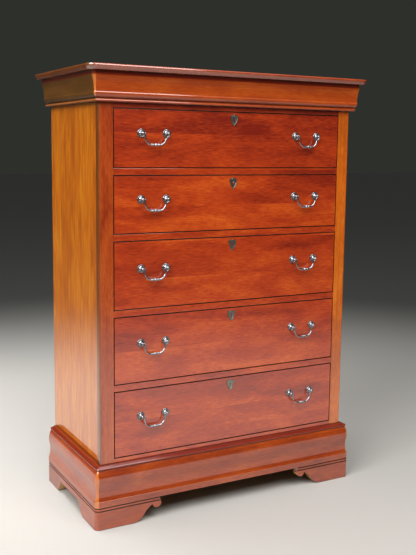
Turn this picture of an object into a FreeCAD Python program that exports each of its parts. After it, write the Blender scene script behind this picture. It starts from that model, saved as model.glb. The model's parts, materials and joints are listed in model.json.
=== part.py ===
"""Tall chest of five flush drawers with a stepped cornice, an ogee base and bracket feet.

Millimetres. +Z is up, +X is to the right of someone facing the chest, and the drawers open
towards -Y. The origin is on the floor, under the middle of the top panel.
"""
import FreeCAD
import Part
import math
import os

Vector = FreeCAD.Vector

# Case and face frame
case_width = 820.0
case_depth = 400.0
stile_width = 41.0
frame_thickness = 20.0
stile_arris_radius = 6.0
side_inset = 5.0
side_thickness = 18.0
back_thickness = 6.0
back_rebate = 10.0
dust_panel_thickness = 6.0
rail_height = 18.0
rail_depth = 55.0
rear_rail_depth = 20.0
bottom_reveal = 12.0
top_reveal = 14.0
cleat_size = 20.0

# Drawer openings, from the top one down
small_opening = 159.5
large_opening = 190.0
openings = [small_opening] * 2 + [large_opening] * 3

# Top panel and its moulded edge
top_thickness = 15.0
top_overhang = 43.0
top_under_out = 36.0
top_tip_height = 10.5
top_edge_round = 3.5
top_edge_bow = 0.9
top_corner_radius = 28.0

# Cornice, from its bead up; every "out" is measured from the face frame
bead_radius = 3.5
bead_out = 12.5
quirk_height = 3.0
lip_out = 18.0
lip_height = 13.0
lip_bow = 3.0
lip_step_height = 2.0
crown_foot_out = 16.8
crown_cove_height = 42.5
crown_cove_bow = 1.7
crown_out = 23.5
crown_fillet_height = 11.5
cornice_corner_radius = 12.0

# Base moulding, from its bottom fillet up
fillet_out = 23.0
fillet_height = 17.0
cove_top_out = 22.3
cove_height = 40.0
cove_bow = 2.9
wave_out = 19.3
bulge_height = 47.5
bulge_bow = 5.2
bulge_top_out = 13.0
nose_out = 15.5
nose_height = 4.5
nose_bow = 1.0
ledge_height = 3.0
ledge_step_out = 6.0
ledge_step_height = 1.5
base_corner_radius = 14.0
base_back_gap = 18.0

# Bracket feet
foot_height = 64.0
bracket_thickness = 22.0
band_height = 8.2
band_groove = 3.4
front_toe = 112.0
toe_rise = 24.0
toe_run = 36.0
toe_bow = 4.5
neck_rise = 22.0
neck_run = 24.0
neck_bow = 2.0
lobe_width = 27.0
lobe_bow = 12.0
lobe_end_out = 5.0
side_toe = 103.0
side_run = 36.0
side_bow = 5.0
apron_clearance = 37.0
rear_toe = 88.0
rear_run = 25.0
foot_block_size = 40.0
foot_block_clearance = 4.0
rear_foot_length = 90.0

# Drawers
drawer_gap = 2.0
front_thickness = 20.0
front_edge_round = 1.2
drawer_side_thickness = 12.0
drawer_back_gap = 29.0
drawer_tail = 8.0
drawer_side_drop = 10.0
drawer_back_drop = 8.0
drawer_back_housing = 4.0
drawer_bottom_thickness = 5.0
drawer_bottom_lift = 10.0
drawer_bottom_groove = 5.0
dovetail_length = 14.0
dovetail_pitch = 36.0
dovetail_root = 15.0
dovetail_flare = 2.5
dovetail_margin = 10.0
guide_height = 20.0
runner_bearing = 30.0
stop_width = 30.0
stop_depth = 12.0
stop_height = 6.0
stop_inset = 90.0

# Bail pulls
pull_spacing = 76.0
pull_inset = 160.0
pull_level = 0.59
rosette_radius = 11.5
rosette_rim = 2.4
rosette_pan = 1.4
rim_bow = 1.3
pan_bow = 2.2
neck_base = 6.0
neck_radius = 3.0
ball_radius = 3.9
pivot_standoff = 12.5
pin_radius = 1.3
pin_clearance = 0.25
pin_end_gap = 0.5
wire_radius = 2.1
knuckle_radius = 2.3
knuckle_gap = 0.35
bail_drop = 31.0
bend_radius = 21.0
turned_half = 10.0
swell_radius = 3.1
swell_place = 8.0
collar_radius = 3.7
collar_width = 1.1
bail_neck_radius = 2.4
bead_ball_radius = 4.6
screw_radius = 2.0
screw_clearance = 0.12
screw_bite = 8.0
screw_head_radius = 4.0
screw_head_height = 2.4
screw_slot = 1.0

# Shield escutcheons
shield_width = 23.0
shield_height = 32.5
shield_shoulder = 3.5
shield_dip = 1.8
shield_waist = 3.2
shield_thickness = 2.2
shield_rim = 2.0
shield_pan = 1.0
shield_drop = 22.0
keyhole_radius = 2.6
keyhole_length = 8.0
keyhole_flare = 3.8
keyhole_rise = 2.5

# Places that follow from the sizes above
half_width = case_width / 2
pull_centre = half_width - pull_inset
y_front = -(case_depth + top_overhang) / 2
y_face = y_front + top_overhang
y_frame_back = y_face + frame_thickness
y_back = y_face + case_depth
y_inside = y_back - back_thickness
y_rear_rail = y_inside - rear_rail_depth
y_base_end = y_back - base_back_gap
x_side_out = half_width - side_inset
x_side_in = x_side_out - side_thickness
x_opening = half_width - stile_width
bead_height = 2 * bead_radius
bead_seat = bead_out - bead_radius
cornice_height = (bead_height + quirk_height + lip_height + lip_step_height
                  + crown_cove_height + crown_fillet_height)
base_height = fillet_height + cove_height + bulge_height + nose_height + ledge_height + ledge_step_height
z_ledge = foot_height + base_height
z_rail_bottom = z_ledge + bottom_reveal - rail_height
z_dust_panel = z_rail_bottom - dust_panel_thickness
z_opening = []
z_next = z_ledge + bottom_reveal
for opening in reversed(openings):
    z_opening.insert(0, z_next)
    z_next += opening + rail_height
z_top_opening = z_opening[0] + openings[0]
z_bead = z_top_opening + top_reveal
z_case = z_bead + cornice_height
drawer_half = x_opening - drawer_gap
drawer_length = case_depth - back_thickness - drawer_back_gap
y_front_back = y_face + front_thickness
y_pivot = y_face - pivot_standoff


def box(x0, x1, y0, y1, z0, z1):
    """A block between two corners."""
    return Part.makeBox(x1 - x0, y1 - y0, z1 - z0, Vector(x0, y0, z0))


def edge(start, end, place):
    """The edge to the point end; its third value, if any, bows it to the right of travel."""
    (u0, v0), (u1, v1) = start[:2], end[:2]
    if len(end) == 2:
        return Part.LineSegment(place(u0, v0), place(u1, v1)).toShape()
    length = math.hypot(u1 - u0, v1 - v0)
    bow = end[2] / length
    middle = place((u0 + u1) / 2 + (v1 - v0) * bow, (v0 + v1) / 2 - (u1 - u0) * bow)
    return Part.Arc(place(u0, v0), middle, place(u1, v1)).toShape()


def flat(points, place):
    """A face inside a closed outline of (u, v) or (u, v, bow) points."""
    ends = points[1:] + points[:1]
    return Part.Face(Part.Wire([edge(start, end, place) for start, end in zip(points, ends)]))


def prism(points, place, run):
    """A closed outline pushed along a vector."""
    return flat(points, place).extrude(run)


def mirrored(shape):
    """The same piece on the other side of the chest."""
    return shape.mirror(Vector(0, 0, 0), Vector(1, 0, 0))


def whole(half):
    """One piece from its left half."""
    return half.fuse(mirrored(half)).removeSplitter()


def front_plane(x, z=0.0):
    """Sections that look along X: u stands out of the face frame, v goes up."""
    return lambda u, v: Vector(x, y_face - u, z + v)


def side_plane(y, z=0.0):
    """Sections that look along Y: u stands out of the left stile, v goes up."""
    return lambda u, v: Vector(-half_width - u, y, z + v)


def plan(u, v):
    """Plan points measured out from the front left corner of the face frame."""
    return Vector(-half_width - u, y_face - v, 0)


def mitre_waste(out, keep_front):
    """Everything on the far side of the front left mitre."""
    corner = (out, -out) if keep_front else (-out, out)
    return prism([(-out, -out), (out, out), corner], plan, Vector(0, 0, z_case))


def outer_part(section, place, reach, out, height):
    """The part of a section that stands out further than reach."""
    keep = flat([(reach, -1), (out + 1, -1), (out + 1, height + 1), (reach, height + 1)], place)
    return section.common(keep)


def front_half_run(section_points, z, reach, out, height):
    """Left half of a moulding across the front, with its rounded, mitred corner."""
    place = front_plane(-half_width - reach, z)
    section = flat(section_points, place)
    run = section.extrude(Vector(half_width + reach, 0, 0))
    axis = Vector(-half_width - reach, y_face - reach, 0)
    corner = outer_part(section, place, reach, out, height).revolve(axis, Vector(0, 0, 1), -45)
    return run.fuse(corner).cut(mitre_waste(4 * out, True))


def side_run_left(section_points, z, reach, out, height, y_end):
    """A moulding down the left side, with its rounded, mitred corner."""
    place = side_plane(y_face - reach, z)
    section = flat(section_points, place)
    run = section.extrude(Vector(0, y_end - y_face + reach, 0))
    axis = Vector(-half_width - reach, y_face - reach, 0)
    corner = outer_part(section, place, reach, out, height).revolve(axis, Vector(0, 0, 1), 45)
    return run.fuse(corner).cut(mitre_waste(4 * out, False)).cut(stile_left())


def save(name, *solids):
    """Write one node, a single solid or a group of them."""
    shape = solids[0] if len(solids) == 1 else Part.makeCompound(list(solids))
    shape.exportStep("parts/" + name + ".step")


# Carcass


def stile_left():
    """Stile with its outer arris rounded where it shows."""
    stile = box(-half_width, -x_opening, y_face, y_frame_back, foot_height, z_case)
    r = stile_arris_radius
    round_off = [(0, 0), (0, -r), (-r, 0, r * (1 - math.sqrt(0.5)))]
    waste = prism(round_off, plan, Vector(0, 0, z_bead - z_ledge))
    waste.translate(Vector(0, 0, z_ledge))
    return stile.cut(waste)


def side_panel_left():
    """Side panel behind the stile, rebated for the back panel."""
    panel = box(-x_side_out, -x_side_in, y_frame_back, y_back, foot_height, z_case)
    rebate = box(-x_side_in - back_rebate, -x_side_in, y_inside, y_back, foot_height, z_case)
    return panel.cut(rebate)


def back_panel():
    half = x_side_in + back_rebate
    return box(-half, half, y_inside, y_back, foot_height, z_case)


def divider_rails():
    """One rail under each drawer."""
    return [box(-x_opening, x_opening, y_face, y_face + rail_depth, z - rail_height, z) for z in z_opening]


def rear_rails():
    """Rails at the back of the runners, and one under the top."""
    levels = z_opening + [z_case]
    return [box(-x_side_in, x_side_in, y_rear_rail, y_inside, z - rail_height, z) for z in levels]


def runner_left(z):
    """Runner that carries a drawer side, with the guide beside it."""
    inner = x_opening - runner_bearing
    bearer = box(-x_side_in, -inner, y_frame_back, y_rear_rail, z - rail_height, z)
    rail = box(-x_opening, x_opening, y_face, y_face + rail_depth, z - rail_height, z)
    guide = box(-x_side_in, -x_opening, y_frame_back, y_rear_rail, z, z + guide_height)
    return bearer.cut(rail).fuse(guide).removeSplitter()


def kicker_left():
    """Batten over the top drawer that keeps it level as it comes out."""
    inner = x_opening - runner_bearing
    return box(-x_side_in, -inner, y_frame_back, y_inside, z_top_opening, z_top_opening + rail_height)


def drawer_stops():
    """Two blocks behind each drawer front."""
    stops = []
    for z in z_opening:
        for x in (-x_opening + stop_inset, x_opening - stop_inset - stop_width):
            stops.append(box(x, x + stop_width, y_front_back, y_front_back + stop_depth, z, z + stop_height))
    return stops


# Top, cornice and base


def top_panel():
    """Top panel with a moulded edge and round front corners."""
    reach = top_overhang - top_corner_radius
    section_points = [
        (reach, 0),
        (top_under_out, 0),
        (top_overhang, top_tip_height, top_edge_bow),
        (top_overhang - top_edge_round, top_thickness, top_edge_bow),
        (reach, top_thickness),
    ]
    front = flat(section_points, front_plane(-half_width - reach, z_case))
    side = flat(section_points, side_plane(y_face - reach, z_case))
    core = box(-half_width - reach, 0, y_face - reach, y_back, z_case, z_case + top_thickness)
    corner = front.revolve(Vector(-half_width - reach, y_face - reach, 0), Vector(0, 0, 1), -90)
    pieces = [
        front.extrude(Vector(half_width + reach, 0, 0)),
        side.extrude(Vector(0, y_back - y_face + reach, 0)),
        corner,
    ]
    return whole(core.multiFuse(pieces).removeSplitter())


def cornice_section(back):
    """Bead, quirk, rounded lip, hollow crown and fillet, from the bottom up."""
    z_lip_foot = bead_height + quirk_height
    z_lip = z_lip_foot + lip_height
    z_crown_foot = z_lip + lip_step_height
    z_crown = z_crown_foot + crown_cove_height
    return [
        (back, 0),
        (bead_seat, 0),
        (bead_seat, bead_height, bead_radius),
        (bead_seat, z_lip_foot),
        (lip_out, z_lip, lip_bow),
        (crown_foot_out, z_crown_foot),
        (crown_out, z_crown, -crown_cove_bow),
        (crown_out, cornice_height),
        (back, cornice_height),
    ]


def base_section(back):
    """Fillet, cove, bulge, nose and stepped ledge, from the bottom up."""
    z_wave = fillet_height + cove_height
    z_nose = z_wave + bulge_height
    z_nose_top = z_nose + nose_height
    z_step = z_nose_top + ledge_height
    return [
        (back, 0),
        (fillet_out, 0),
        (fillet_out, fillet_height),
        (cove_top_out, fillet_height),
        (wave_out, z_wave, -cove_bow),
        (bulge_top_out, z_nose, bulge_bow),
        (nose_out, z_nose),
        (nose_out, z_nose_top, nose_bow),
        (ledge_step_out, z_step),
        (ledge_step_out, base_height),
        (back, base_height),
    ]


def cornice_pieces():
    """Front and left runs of the cornice."""
    reach = crown_out - cornice_corner_radius
    front = front_half_run(cornice_section(0), z_bead, reach, crown_out, cornice_height)
    left = side_run_left(cornice_section(-side_inset), z_bead, reach, crown_out, cornice_height, y_back)
    return whole(front), left


def base_pieces():
    """Front and left runs of the base moulding."""
    reach = fillet_out - base_corner_radius
    front = front_half_run(base_section(0), foot_height, reach, fillet_out, base_height)
    left = side_run_left(base_section(-side_inset), foot_height, reach, fillet_out, base_height, y_base_end)
    return whole(front), left


# Feet


def foot_plan(out, radius, z0, z1):
    """Block behind the outer faces of the left feet, with a round corner."""
    behind = -(y_base_end - y_face)
    points = [(-half_width, out), (out - radius, out), (out, out - radius, -radius * (1 - math.sqrt(0.5)))]
    points += [(out, behind), (-half_width, behind)]
    block = prism(points, plan, Vector(0, 0, z1 - z0))
    block.translate(Vector(0, 0, z0))
    return block


def groove_left(z):
    """Fine groove round the outside of the left feet, under a height."""
    skin = foot_plan(fillet_out, base_corner_radius, z - band_groove, z)
    return skin.cut(foot_plan(fillet_out - band_groove, base_corner_radius - band_groove, z - band_groove, z))


def shaped_foot(blank, keep_front):
    """Round and mitre a bracket, and set off a band along its top with two grooves."""
    foot = blank.common(foot_plan(fillet_out, base_corner_radius, 0, foot_height))
    for z in (foot_height, foot_height - band_height):
        foot = foot.cut(groove_left(z))
    return foot.cut(mitre_waste(4 * fillet_out, keep_front))


def foot_front_left():
    """Front bracket with an ogee and a round lobe."""
    neck = front_toe + toe_run
    notch = neck + neck_run
    z_notch = toe_rise + neck_rise
    outline = [
        (0, 0),
        (front_toe, 0),
        (neck, toe_rise, toe_bow),
        (notch, z_notch, -neck_bow),
        (notch + lobe_width, z_notch, lobe_bow),
        (notch + lobe_width - lobe_end_out, foot_height),
        (0, foot_height),
    ]
    x_out = -half_width - fillet_out
    y_out = y_face - fillet_out
    blank = prism(outline, lambda u, v: Vector(x_out + u, y_out, v), Vector(0, bracket_thickness, 0))
    return shaped_foot(blank, True)


def side_bracket_left():
    """Side bracket: front toe, apron and rear foot in one board."""
    length = y_base_end - y_face + fillet_out
    outline = [
        (0, 0),
        (side_toe, 0),
        (side_toe + side_run, apron_clearance, side_bow),
        (length - rear_toe - rear_run, apron_clearance),
        (length - rear_toe, 0),
        (length, 0),
        (length, foot_height),
        (0, foot_height),
    ]
    x_out = -half_width - fillet_out
    y_out = y_face - fillet_out
    blank = prism(outline, lambda u, v: Vector(x_out, y_out + u, v), Vector(bracket_thickness, 0, 0))
    return shaped_foot(blank, False)


def foot_blocks():
    """Square blocks in the front feet and plain boards in the rear feet."""
    inner = fillet_out - bracket_thickness
    x0 = -half_width - inner
    y0 = y_face - inner
    size = foot_block_size
    front = box(x0, x0 + size, y0, y0 + size, foot_block_clearance, foot_height)
    rear = box(x0, x0 + rear_foot_length, y_base_end - bracket_thickness, y_base_end, 0, foot_height)
    return [front, mirrored(front), rear, mirrored(rear)]


# Drawers


def dovetails(x0, z0, z1):
    """Tails of the left drawer side, spread evenly between two heights."""
    count = max(2, round((z1 - z0) / dovetail_pitch))
    pitch = (z1 - z0) / count
    root = min(dovetail_root, pitch / 2) / 2
    tails = []
    for index in range(count):
        z = z0 + (index + 0.5) * pitch
        outline = [
            (y_front_back, z - root),
            (y_front_back, z + root),
            (y_front_back - dovetail_length, z + root + dovetail_flare),
            (y_front_back - dovetail_length, z - root - dovetail_flare),
        ]
        tails.append(prism(outline, lambda y, h: Vector(x0, y, h), Vector(drawer_side_thickness, 0, 0)))
    return tails


def drawer_wood(z, opening):
    """Front, left side, back and bottom of one drawer."""
    z_front = z + drawer_gap
    z_front_top = z + opening - drawer_gap
    z_side_top = z_front_top - drawer_side_drop
    z_bottom = z + drawer_bottom_lift
    z_bottom_top = z_bottom + drawer_bottom_thickness
    inner = drawer_half - drawer_side_thickness
    y_end = y_face + drawer_length
    front = box(-drawer_half, drawer_half, y_face, y_front_back, z_front, z_front_top)
    face_edges = [e for e in front.Edges if all(abs(v.Y - y_face) < front_edge_round / 2 for v in e.Vertexes)]
    front = front.makeFillet(front_edge_round, face_edges)
    side = box(-drawer_half, -inner, y_front_back, y_end, z, z_side_top)
    tails = dovetails(-drawer_half, z_front + dovetail_margin, z_side_top)
    housed = inner + drawer_back_housing
    y_back_rear = y_end - drawer_tail
    y_back_face = y_back_rear - drawer_side_thickness
    back = box(-housed, housed, y_back_face, y_back_rear, z_bottom_top, z_side_top - drawer_back_drop)
    grooved = inner + drawer_bottom_groove
    bottom = box(-grooved, grooved, y_front_back - drawer_bottom_groove, y_end, z_bottom, z_bottom_top)
    side = side.multiFuse(tails).cut(bottom).cut(back)
    front = front.cut(Part.makeCompound(tails + [mirrored(tail) for tail in tails]))
    return front.cut(bottom), side, back, bottom


def keyhole(x, z):
    """Keyhole cutter through an escutcheon."""
    depth = Vector(0, shield_thickness, 0)
    y = y_face - shield_thickness
    hole = Part.makeCylinder(keyhole_radius, shield_thickness, Vector(x, y, z), Vector(0, 1, 0))
    half_top = keyhole_flare / 4
    half_foot = keyhole_flare / 2
    slot = [(half_top, 0), (-half_top, 0), (-half_foot, -keyhole_length), (half_foot, -keyhole_length)]
    return hole.fuse(prism(slot, lambda u, v: Vector(x + u, y, z + v), depth))


def shield(x, z, trim, y, thickness):
    """Shield with a peaked top and a point below, set in by trim all round."""
    half = shield_width / 2 - trim
    peak = shield_height / 2 - trim
    shoulder = peak - shield_shoulder
    outline = [
        (0, -peak),
        (half, shoulder, shield_waist),
        (0, peak, -shield_dip),
        (-half, shoulder, -shield_dip),
        (0, -peak, shield_waist),
    ]
    place = lambda u, v: Vector(x + u, y, z + v)
    edges = [edge(start, end, place) for start, end in zip(outline, outline[1:])]
    return Part.Face(Part.Wire(edges)).extrude(Vector(0, thickness, 0))


def escutcheon(z):
    """Cast shield with a raised rim and a keyhole; it is only an ornament."""
    plate = shield(0, z, 0, y_face - shield_thickness, shield_thickness)
    pan = shield(0, z, shield_rim, y_face - shield_thickness, shield_pan)
    return plate.cut(pan).cut(keyhole(0, z + keyhole_rise))


def pull_post(x, z, inward):
    """Rosette with a post and ball; inward is the side that takes the bail's pin."""
    outline = [
        (0, 0),
        (rosette_radius, 0),
        (rosette_radius - rosette_rim, rosette_pan, rim_bow),
        (neck_radius, neck_base, -pan_bow),
        (neck_radius, pivot_standoff),
        (0, pivot_standoff),
    ]
    base = Vector(x, y_face, z)
    out = Vector(0, -1, 0)
    turned = flat(outline, lambda u, v: Vector(x + u, y_face - v, z)).revolve(base, out, 360)
    post = turned.fuse(Part.makeSphere(ball_radius, Vector(x, y_pivot, z)))
    mouth = Vector(x + inward * ball_radius, y_pivot, z)
    depth = ball_radius + pin_radius
    hole = Part.makeCylinder(pin_radius + pin_clearance, depth, mouth, Vector(-inward, 0, 0))
    tapped = Part.makeCylinder(screw_radius + screw_clearance, screw_bite, base, out)
    return post.cut(hole).cut(tapped)


def pull_screw(x, z):
    """Slotted screw from inside the drawer into a post."""
    seat = Vector(x, y_front_back, z)
    shank = Part.makeCylinder(screw_radius, front_thickness + screw_bite, seat, Vector(0, -1, 0))
    head = Part.makeCylinder(screw_head_radius, screw_head_height, seat, Vector(0, 1, 0))
    y_slot = y_front_back + screw_head_height - screw_slot
    slot = box(x - screw_head_radius, x + screw_head_radius, y_slot, y_slot + screw_slot,
               z - screw_slot / 2, z + screw_slot / 2)
    return shank.fuse(head).cut(slot)


def screw_hole(x, z):
    """Hole through a drawer front for a pull's screw."""
    seat = Vector(x, y_front_back, z)
    return Part.makeCylinder(screw_radius + screw_clearance, front_thickness, seat, Vector(0, -1, 0))


def spun(outline, z):
    """A turned piece about an axis along X at a height."""
    section = flat(outline, lambda u, v: Vector(u, 0, z + v))
    return section.revolve(Vector(0, 0, z), Vector(1, 0, 0), 360)


def bail():
    """Hanging bail about its own pivot: pins, round bends and a turned bead in the middle."""
    arm = pull_spacing / 2 - ball_radius - knuckle_gap - knuckle_radius
    pin_end = pull_spacing / 2 + pin_radius - pin_end_gap
    pin_root = arm + math.sqrt(knuckle_radius ** 2 - pin_radius ** 2)
    knuckle_span = math.pi - math.asin(pin_radius / knuckle_radius)
    x_bend = arm - bend_radius
    z_bend = bend_radius - bail_drop
    collar_in = bead_ball_radius + collar_width
    collar_out = collar_in + collar_width
    bead_root = math.sqrt(bead_ball_radius ** 2 - bail_neck_radius ** 2)
    bead_span = math.asin(bead_root / bead_ball_radius)
    pin = spun([
        (arm - knuckle_radius, 0),
        (pin_root, pin_radius, knuckle_radius * (math.cos(knuckle_span / 2) - 1)),
        (pin_end, pin_radius),
        (pin_end, 0),
    ], 0)
    upright = Part.makeCylinder(wire_radius, -z_bend, Vector(arm, 0, z_bend))
    ring = Part.Face(Part.Wire(Part.makeCircle(wire_radius, Vector(arm, 0, z_bend))))
    bend = ring.revolve(Vector(x_bend, 0, z_bend), Vector(0, 1, 0), 90)
    turned = spun([
        (0, 0),
        (x_bend, 0),
        (x_bend, wire_radius),
        (turned_half, wire_radius),
        (swell_place, swell_radius),
        (collar_out, bail_neck_radius),
        (collar_out, collar_radius),
        (collar_in, collar_radius),
        (collar_in, bail_neck_radius),
        (bead_root, bail_neck_radius),
        (0, bead_ball_radius, bead_ball_radius * (1 - math.cos(bead_span / 2))),
    ], -bail_drop)
    return whole(pin.fuse(upright).fuse(bend).fuse(turned))


def save_drawer(number, z, opening):
    """Write every node of one drawer."""
    name = "drawer_%d_" % number
    z_pull = z + opening * pull_level
    z_shield = z + opening - drawer_gap - shield_drop
    front, side, back, bottom = drawer_wood(z, opening)
    posts = []
    screws = []
    for hand, centre in (("left", -pull_centre), ("right", pull_centre)):
        for end in (-1, 1):
            x = centre + end * pull_spacing / 2
            posts.append(pull_post(x, z_pull, -end))
            screws.append(pull_screw(x, z_pull))
            front = front.cut(screw_hole(x, z_pull))
        save("bail_%d_%s" % (number, hand), bail().translated(Vector(centre, y_pivot, z_pull)))
    save(name + "front", front)
    save(name + "box", side, mirrored(side), back)
    save(name + "bottom", bottom)
    save(name + "pull_posts", *posts, *screws)
    save(name + "escutcheon", escutcheon(z_shield))


def save_carcass():
    """Write every node that stays still."""
    for name, left in (("stile", stile_left()), ("side_panel", side_panel_left()),
                       ("foot_front", foot_front_left()), ("side_bracket", side_bracket_left())):
        save(name + "_left", left)
        save(name + "_right", mirrored(left))
    for name, (front, left) in (("cornice", cornice_pieces()), ("base_moulding", base_pieces())):
        save(name + "_front", front)
        save(name + "_left", left)
        save(name + "_right", mirrored(left))
    runners = [runner_left(z) for z in z_opening] + [kicker_left()]
    cleat = box(-x_side_in, -x_side_in + cleat_size, y_frame_back, y_rear_rail, z_case - cleat_size, z_case)
    save("top_panel", top_panel())
    save("top_cleats", cleat, mirrored(cleat))
    save("top_rail", box(-x_opening, x_opening, y_face, y_frame_back, z_top_opening, z_case))
    save("divider_rails", *divider_rails())
    save("base_rail", box(-x_opening, x_opening, y_face, y_frame_back, foot_height, z_rail_bottom))
    save("dust_panel", box(-x_side_in, x_side_in, y_frame_back, y_inside, z_dust_panel, z_rail_bottom))
    save("back_panel", back_panel())
    save("rear_rails", *rear_rails())
    save("drawer_runners", *runners, *[mirrored(runner) for runner in runners])
    save("drawer_stops", *drawer_stops())
    save("foot_blocks", *foot_blocks())


os.makedirs("parts", exist_ok=True)
save_carcass()
for index, (z_drawer, opening) in enumerate(zip(z_opening, openings)):
    save_drawer(index + 1, z_drawer, opening)
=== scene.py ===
"""Dresses a packed chest of drawers: soft arrises, stained cherry, pewter pulls and a plain studio."""

import json
import math

import bmesh
import bpy
from mathutils import Matrix, Vector


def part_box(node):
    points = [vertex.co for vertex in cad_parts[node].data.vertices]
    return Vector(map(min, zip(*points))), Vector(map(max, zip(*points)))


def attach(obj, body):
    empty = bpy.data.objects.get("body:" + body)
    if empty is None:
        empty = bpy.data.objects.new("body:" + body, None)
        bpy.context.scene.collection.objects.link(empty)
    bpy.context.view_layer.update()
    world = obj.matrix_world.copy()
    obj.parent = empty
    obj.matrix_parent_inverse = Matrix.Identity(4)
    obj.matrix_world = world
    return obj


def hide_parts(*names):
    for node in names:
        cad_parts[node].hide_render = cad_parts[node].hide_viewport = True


bl_info = {
    "name": "Chest of drawers finish",
    "version": (1, 0, 0),
    "blender": (4, 5, 0),
    "location": "3D View > Sidebar > Chest",
    "description": "Dresses a packed chest of drawers in stained cherry with pewter pulls",
    "category": "Object",
}

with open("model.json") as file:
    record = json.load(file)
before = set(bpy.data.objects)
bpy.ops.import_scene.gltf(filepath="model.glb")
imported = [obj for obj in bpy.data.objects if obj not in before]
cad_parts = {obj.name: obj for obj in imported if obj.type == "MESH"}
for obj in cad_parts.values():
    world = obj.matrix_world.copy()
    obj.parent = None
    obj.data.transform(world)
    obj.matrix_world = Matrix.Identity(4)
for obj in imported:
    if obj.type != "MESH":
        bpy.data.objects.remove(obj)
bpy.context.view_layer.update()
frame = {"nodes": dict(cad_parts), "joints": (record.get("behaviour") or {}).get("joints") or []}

MM = 0.001
DRAWERS = range(1, 6)
HANDS = ("left", "right")

# Points nearer than the first are one point, and edges nearer than the second to a mitre lie in it
MERGE = 0.002 * MM
MITRE_SLACK = 0.02 * MM
# Edges of boards and of metal that turn by more than this are shaded sharp
BOARD_SHARP = math.radians(50)
METAL_SHARP = math.radians(40)

# The grain runs along a board's longest side, and each board is cut from its own part of the log
GRAIN_TURNS = {0: (0, 1, 2), 1: (1, 2, 0), 2: (2, 0, 1)}
LOG_STEP = Vector((3.7, 1.9, 2.3))
# How far the figure slides from one glued-up plank to the next, in metres
PLANK_SLIDE = 0.73

# What a face can be marked with, for the stained finishes to read
MARKS = ("edge", "ledge_shade", "rounded", "gap", "sawn")
# Strength of the edge mark on a moulding's round corner and a cornice side's lowest lip, where it is a
# painted highlight, and on a stile's rubbed inner arris; a plain arris has 1
RUB_AND_HIGHLIGHT = 2.5
# Depth of a moulding's ledge at its top, darkened as painted shade, and height of a cornice's lowest lip,
# lightened as a painted highlight
LEDGE = 9 * MM
LIP = 6 * MM
# Parts of a face's unit normal: the least in a moulding's round corner, where a highlight is painted, and in
# a rounded side or end, which is made browner
CORNER_TURN = 0.25
SIDEWAYS = 0.35
# The same for an arris: its least, and the most before a face counts as flat or as square to the front
ARRIS_LEAST = 0.1
ARRIS_MOST = 0.95
SQUARE = 0.99

# Bore of a post's ball as a multiple of the pin in it
BORE_PLAY = 1.16

# Picture height in pixels, sensor height in millimetres, and lens shift as shares of that height
PICTURE_HEIGHT = 555
SENSOR_HEIGHT = 24.0
LENS_SHIFT = (-0.0031, -0.0323)
FARTHEST_SEEN = 200
FLOOR_REACH = 30
# Name, place, aim, width, power in watts and spread of each lamp
LAMPS = (
    ("key", (-3.6, -1.9, 3.6), (0, -0.1, 0.6), 3.0, 300, math.pi),
    ("overhead", (0.2, -2.3, 3.3), (0, -0.1, 0.5), 2.4, 112, math.pi),
    ("rear_floor", (-1.3, 1.0, 3.6), (-1.1, 0.9, 0), 1.6, 22, math.radians(60)),
)

TOP_BOARDS = ("top_panel",)
STILE_BOARDS = ("stile_left",)
CROWN_BOARDS = ("cornice_front",)
PAINTED_SHADE_BOARDS = ("cornice_left", "cornice_right")
BASE_BOARDS = ("base_moulding_front", "base_moulding_left", "base_moulding_right")
FOOT_BOARDS = ("foot_front_left", "foot_front_right", "side_bracket_left", "side_bracket_right")
RED_BOARDS = ("top_rail", "divider_rails")
AMBER_BOARDS = ("stile_right",)
SIDE_BOARDS = ("side_panel_left", "side_panel_right")
HIDDEN_BOARDS = ("top_cleats", "base_rail", "rear_rails", "drawer_runners", "drawer_stops", "foot_blocks")
SHEET_BOARDS = ("back_panel", "dust_panel")


def linear(hex_text):
    """An sRGB hex colour as linear red, green, blue and alpha."""
    parts = [int(hex_text[i:i + 2], 16) / 255 for i in (1, 3, 5)]
    return tuple(c / 12.92 if c <= 0.04045 else ((c + 0.055) / 1.055) ** 2.4 for c in parts) + (1.0,)


def add_node(tree, kind, inputs=None, stops=None, **settings):
    """Adds a node, sets it up, and links or fills its inputs; stops are a colour ramp's."""
    node = tree.nodes.new(kind)
    for key, value in settings.items():
        setattr(node, key, value)
    for index, (place, colour) in enumerate(stops or ()):
        points = node.color_ramp.elements
        point = points[index] if index < 2 else points.new(place)
        point.position = place
        point.color = colour
    for key, value in (inputs or {}).items():
        if isinstance(value, bpy.types.NodeSocket):
            tree.links.new(value, node.inputs[key])
        else:
            node.inputs[key].default_value = value
    return node


def hex_setting(name, description, default):
    """A colour that a user can change, as sRGB hex."""
    return bpy.props.StringProperty(name=name, description=description, default=default)


def length_setting(name, description, millimetres):
    """A length that a user can change."""
    return bpy.props.FloatProperty(name=name, description=description, default=millimetres * MM,
                                   unit="LENGTH")


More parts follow.
